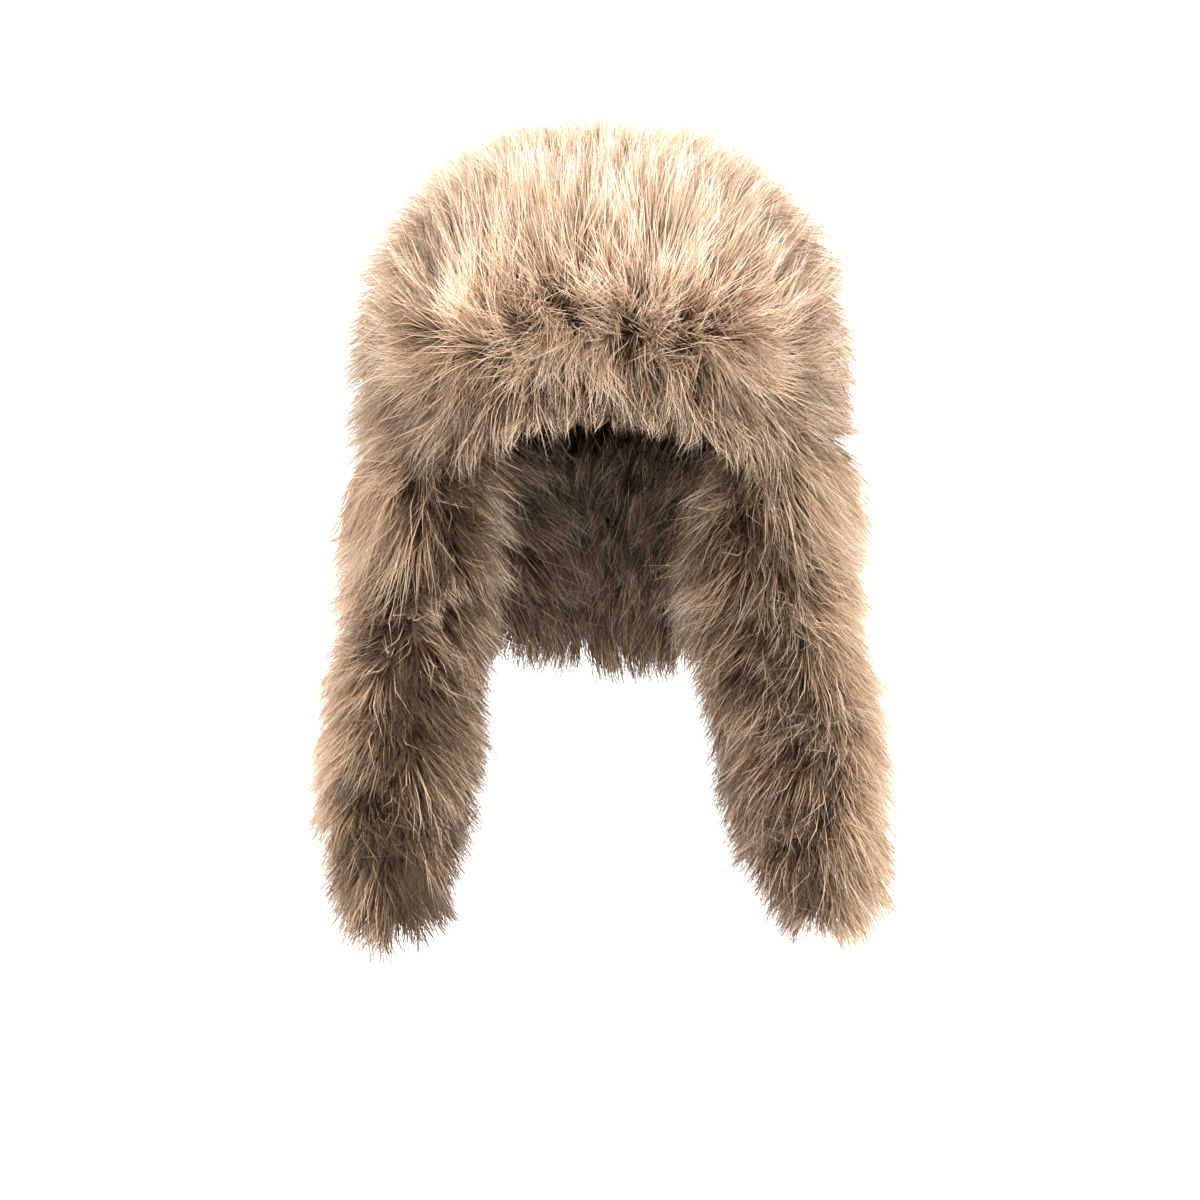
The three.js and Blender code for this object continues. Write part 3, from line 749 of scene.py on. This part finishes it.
def cloth_material(name, dark, light):
    """A matt cloth with a fine weave and slow changes of tone"""
    material, t, shader = new_material(name, 0.92)
    place = t.out(t.node("ShaderNodeTexCoord"), "Object")
    cloudy = t.node("ShaderNodeTexNoise", Vector=place, Scale=LINING_CLOUDS, Detail=4.0)
    grain = t.node("ShaderNodeTexNoise", Vector=place, Scale=LINING_GRAIN, Detail=2.0)
    axes = t.node("ShaderNodeSeparateXYZ", Vector=place * ((LINING_WEAVE,) * 3))
    x, y, z = (t.out(axes, axis) for axis in "XYZ")
    weave = t.work("SINE", x + y) * t.work("SINE", z)
    tone = t.ease(t.out(cloudy), 0.3, 0.7) * 0.7 + t.out(grain) * 0.3
    t.feed(shader.inputs["Base Color"], t.mix(tone, dark, light))
    bump = t.node("ShaderNodeBump", Strength=0.4, Distance=0.0004, Height=weave * 0.5 + t.out(grain))
    t.feed(shader.inputs["Normal"], t.out(bump))
    shader.inputs["Specular IOR Level"].default_value = 0.2
    return material


def studio_floor():
    """A round pale floor that turns up into a wall far away on every side"""
    sides, rings = 96, 24
    corners = []
    for rise in np.linspace(0, math.pi / 2, rings):
        r, z = FLOOR_FLAT + FLOOR_BOW * math.sin(rise), FLOOR_HEIGHT + FLOOR_BOW * (1 - math.cos(rise))
        turns = (2 * math.pi * i / sides for i in range(sides))
        corners += [(r * math.sin(turn), -r * math.cos(turn), z) for turn in turns]
    faces = [tuple(range(sides))]
    for ring in range(rings - 1):
        for i in range(sides):
            j = (i + 1) % sides
            low, high = ring * sides, (ring + 1) * sides
            faces.append((low + i, low + j, high + j, high + i)[::-1])
    mesh = bpy.data.meshes.new("studio_floor")
    mesh.from_pydata(corners, [], faces)
    mesh.shade_smooth()
    made = bpy.data.objects.new("studio_floor", mesh)
    bpy.context.scene.collection.objects.link(made)
    material, t, shader = new_material("pale studio floor", 0.8)
    shader.inputs["Base Color"].default_value = FLOOR_COLOUR
    mesh.materials.append(material)


def softbox(name, place, target, size, power, tint):
    lamp = bpy.data.lights.new(name, "AREA")
    lamp.shape = "RECTANGLE"
    lamp.size, lamp.size_y = size
    lamp.energy = power
    lamp.color = tint
    made = bpy.data.objects.new(name, lamp)
    made.location = place
    made.rotation_euler = (Vector(target) - Vector(place)).to_track_quat("-Z", "Y").to_euler()
    bpy.context.scene.collection.objects.link(made)


def light_and_camera():
    for light in LIGHTS:
        softbox(*light)
    world = bpy.data.worlds.new("studio")
    world.use_nodes = True
    sky = next(n for n in world.node_tree.nodes if n.type == "BACKGROUND")
    sky.inputs["Color"].default_value = (1.0, 1.0, 1.0, 1.0)
    sky.inputs["Strength"].default_value = SKY
    bpy.context.scene.world = world
    bpy.context.scene.view_settings.view_transform = "Standard"

    aim = Vector(CAMERA_AIM)
    back, up = -math.cos(CAMERA_ELEVATION), math.sin(CAMERA_ELEVATION)
    view = bpy.data.cameras.new("camera")
    view.sensor_width = 36.0
    view.lens = CAMERA_LENS
    camera = bpy.data.objects.new("camera", view)
    camera.location = aim + CAMERA_DISTANCE * Vector((0, back, up))
    camera.rotation_euler = (aim - camera.location).to_track_quat("-Z", "Y").to_euler()
    bpy.context.scene.collection.objects.link(camera)
    bpy.context.scene.camera = camera


fur = fur_material()
growing = strand_tree()
pile("crown_pile", crown_skin(), growing, fur, "crown_fur", 3)
pile("front_flap_pile", front_skin(), growing, fur, "front_flap_fur", 5)
pile("ear_flap_left_pile", ear_skin(-1, "ear_flap_left_pile"), growing, fur, "ear_flap_left_fur", 7)
pile("ear_flap_right_pile", ear_skin(1, "ear_flap_right_pile"), growing, fur, "ear_flap_right_fur", 9)
pile("neck_flap_pile", neck_skin(), growing, fur, "neck_flap_fur", 11)

lining = cloth_material("brown lining cloth", *(linear(*colour) for colour in LINING_COLOURS))
for node in ("crown", "front_flap", "ear_flap_left", "ear_flap_right", "neck_flap"):
    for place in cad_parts[node].material_slots:
        place.material = lining

studio_floor()
light_and_camera()
